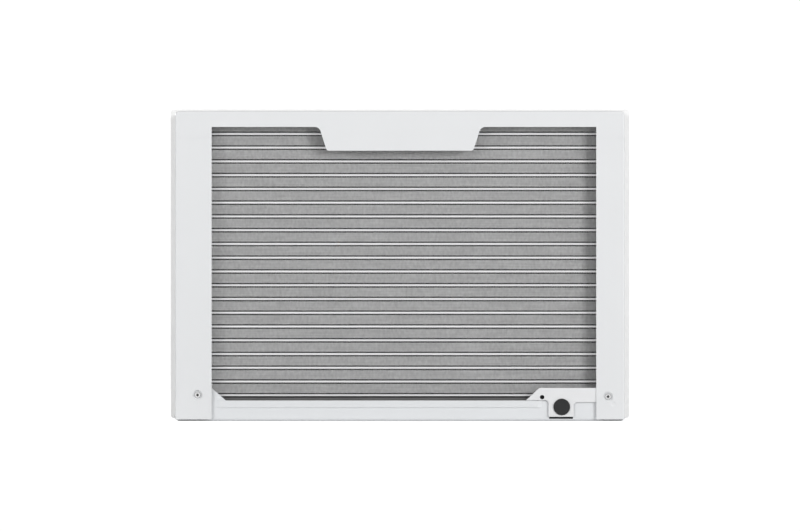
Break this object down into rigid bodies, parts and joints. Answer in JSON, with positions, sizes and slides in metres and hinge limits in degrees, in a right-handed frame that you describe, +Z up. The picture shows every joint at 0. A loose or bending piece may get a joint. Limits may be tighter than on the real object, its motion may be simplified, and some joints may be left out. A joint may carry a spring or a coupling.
{
  "type": "window air conditioner",
  "caption": "Compact window air conditioner with a folded steel cabinet, louvred sides, a full-width condenser at the rear, and a front panel with air deflectors and knobs.",
  "frame": {"origin": "under the middle of the unit, on the surface it stands on", "axes": "+Z up, -Y towards the room (front panel), +Y outdoors (condenser), +X to the right as seen from the room"},
  "size_m": [0.45, 0.4003, 0.303],
  "materials": {
    "painted_steel": "satin",
    "panel_plastic": "fine texture",
    "fascia_plastic": "satin",
    "blade_plastic": "satin",
    "vane_plastic": "satin",
    "knob_plastic": "satin",
    "drain_plate_plastic": "satin",
    "rubber": "matt",
    "bright_steel": "zinc plated",
    "dark_steel": "black oxide",
    "tube_aluminium": "satin",
    "fin_aluminium": "rolled",
    "copper": "bright",
    "galvanised_steel": "galvanised",
    "compressor_paint": "gloss",
    "motor_paint": "satin",
    "fan_plastic": "satin",
    "foam": "matt",
    "filter_plastic": "satin",
    "filter_mesh": "woven",
    "switch_plastic": "satin",
    "capacitor_can": "satin",
    "sensor_copper": "bright"
  },
  "bodies": {
    "cabinet": {"accumulator": "compressor_paint", "base_pan": "painted_steel", "blower_scroll": "foam", "bulkhead": "galvanised_steel", "cabinet_screws": "bright_steel", "cabinet_wrap": "painted_steel", "capillary_tube": "copper", "compressor_grommets": "rubber", "compressor_nuts": "bright_steel", "compressor_shell": "compressor_paint", "condenser_fins": "fin_aluminium", "condenser_headers": "tube_aluminium", "condenser_rails": "tube_aluminium", "condenser_tubes": "tube_aluminium", "control_box": "galvanised_steel", "control_plate": "fascia_plastic", "cord_bushing": "rubber", "discharge_pipe": "copper", "drain_plate": "drain_plate_plastic", "drain_plate_screw": "dark_steel", "drip_tray": "foam", "evaporator_end_plates": "fin_aluminium", "evaporator_fins": "fin_aluminium", "evaporator_tubes": "copper", "fan_shroud": "galvanised_steel", "filter_drier": "copper", "front_panel": "panel_plastic", "intake_grille": "panel_plastic", "mode_switch": "switch_plastic", "motor_bracket": "galvanised_steel", "motor_housing": "motor_paint", "rear_corner_brackets": "painted_steel", "run_capacitor": "capacitor_can", "scroll_orifice": "foam", "suction_pipe": "copper", "terminal_cover": "switch_plastic", "thermostat": "switch_plastic", "thermostat_sensor": "sensor_copper"},
    "rotor": {"motor_shaft": "bright_steel", "blower_wheel": "fan_plastic", "condenser_fan": "fan_plastic", "fan_nut": "bright_steel"},
    "mode_control": {"mode_knob": "knob_plastic", "mode_shaft": "bright_steel"},
    "temperature_control": {"temperature_knob": "knob_plastic", "temperature_shaft": "bright_steel"},
    "filter": {"filter_frame": "filter_plastic", "filter_mesh": "filter_mesh"},
    "drain_plug": {"drain_plug": "rubber"},
    "deflector_link": {"deflector_link": "blade_plastic"},
    "vane_tie_bar": {"vane_tie_bar": "vane_plastic"},
    "deflector_blade_1": {"deflector_blade_1": "blade_plastic"},
    "deflector_blade_2": {"deflector_blade_2": "blade_plastic"},
    "deflector_blade_3": {"deflector_blade_3": "blade_plastic"},
    "swing_vane_1": {"swing_vane_1": "vane_plastic"},
    "swing_vane_2": {"swing_vane_2": "vane_plastic"},
    "swing_vane_3": {"swing_vane_3": "vane_plastic"},
    "swing_vane_4": {"swing_vane_4": "vane_plastic"},
    "swing_vane_5": {"swing_vane_5": "vane_plastic"},
    "swing_vane_6": {"swing_vane_6": "vane_plastic"}
  },
  "joints": [
    {"name": "fan_spin", "type": "hinge", "parent": "cabinet", "child": "rotor", "pos_m": [-0.045, 0, 0.13], "axis": [0, 1, 0], "continuous": true},
    {"name": "mode_knob_turn", "type": "hinge", "parent": "cabinet", "child": "mode_control", "pos_m": [0.165, -0.19, 0.205], "axis": [0, 1, 0], "range_deg": [0, 225]},
    {"name": "temperature_knob_turn", "type": "hinge", "parent": "cabinet", "child": "temperature_control", "pos_m": [0.165, -0.19, 0.105], "axis": [0, 1, 0], "range_deg": [-135, 135]},
    {"name": "filter_slide", "type": "slide", "parent": "cabinet", "child": "filter", "axis": [-1, 0, 0], "range_m": [0, 0.32]},
    {"name": "drain_plug_pull", "type": "slide", "parent": "cabinet", "child": "drain_plug", "axis": [0, 1, 0], "range_m": [0, 0.03]},
    {"name": "deflector_tilt", "type": "hinge", "parent": "cabinet", "child": "deflector_blade_1", "pos_m": [0, -0.1735, 0.24133], "axis": [1, 0, 0], "range_deg": [-30, 30]},
    {"name": "deflector_tilt_2", "type": "hinge", "parent": "cabinet", "child": "deflector_blade_2", "pos_m": [0, -0.1735, 0.26], "axis": [1, 0, 0], "range_deg": [-30, 30]},
    {"name": "deflector_tilt_3", "type": "hinge", "parent": "cabinet", "child": "deflector_blade_3", "pos_m": [0, -0.1735, 0.27867], "axis": [1, 0, 0], "range_deg": [-30, 30]},
    {"name": "deflector_link_turn", "type": "hinge", "parent": "deflector_blade_1", "child": "deflector_link", "pos_m": [0.0975, -0.167, 0.24133], "axis": [1, 0, 0], "range_deg": [-30, 30]},
    {"name": "vane_swing", "type": "hinge", "parent": "cabinet", "child": "swing_vane_1", "pos_m": [-0.17917, -0.148, 0.26], "axis": [0, 0, 1], "range_deg": [-30, 30]},
    {"name": "vane_swing_2", "type": "hinge", "parent": "cabinet", "child": "swing_vane_2", "pos_m": [-0.1275, -0.148, 0.26], "axis": [0, 0, 1], "range_deg": [-30, 30]},
    {"name": "vane_swing_3", "type": "hinge", "parent": "cabinet", "child": "swing_vane_3", "pos_m": [-0.07583, -0.148, 0.26], "axis": [0, 0, 1], "range_deg": [-30, 30]},
    {"name": "vane_swing_4", "type": "hinge", "parent": "cabinet", "child": "swing_vane_4", "pos_m": [-0.02417, -0.148, 0.26], "axis": [0, 0, 1], "range_deg": [-30, 30]},
    {"name": "vane_swing_5", "type": "hinge", "parent": "cabinet", "child": "swing_vane_5", "pos_m": [0.0275, -0.148, 0.26], "axis": [0, 0, 1], "range_deg": [-30, 30]},
    {"name": "vane_swing_6", "type": "hinge", "parent": "cabinet", "child": "swing_vane_6", "pos_m": [0.07917, -0.148, 0.26], "axis": [0, 0, 1], "range_deg": [-30, 30]},
    {"name": "vane_tie_bar_turn", "type": "hinge", "parent": "swing_vane_1", "child": "vane_tie_bar", "pos_m": [-0.17917, -0.14, 0.236], "axis": [0, 0, 1], "range_deg": [-30, 30]}
  ],
  "couplings": [
    {"joint": "deflector_tilt_2", "follows": "deflector_tilt", "ratio": 1},
    {"joint": "deflector_tilt_3", "follows": "deflector_tilt", "ratio": 1},
    {"joint": "deflector_link_turn", "follows": "deflector_tilt", "ratio": -1},
    {"joint": "vane_swing_2", "follows": "vane_swing", "ratio": 1},
    {"joint": "vane_swing_3", "follows": "vane_swing", "ratio": 1},
    {"joint": "vane_swing_4", "follows": "vane_swing", "ratio": 1},
    {"joint": "vane_swing_5", "follows": "vane_swing", "ratio": 1},
    {"joint": "vane_swing_6", "follows": "vane_swing", "ratio": 1},
    {"joint": "vane_tie_bar_turn", "follows": "vane_swing", "ratio": -1}
  ]
}
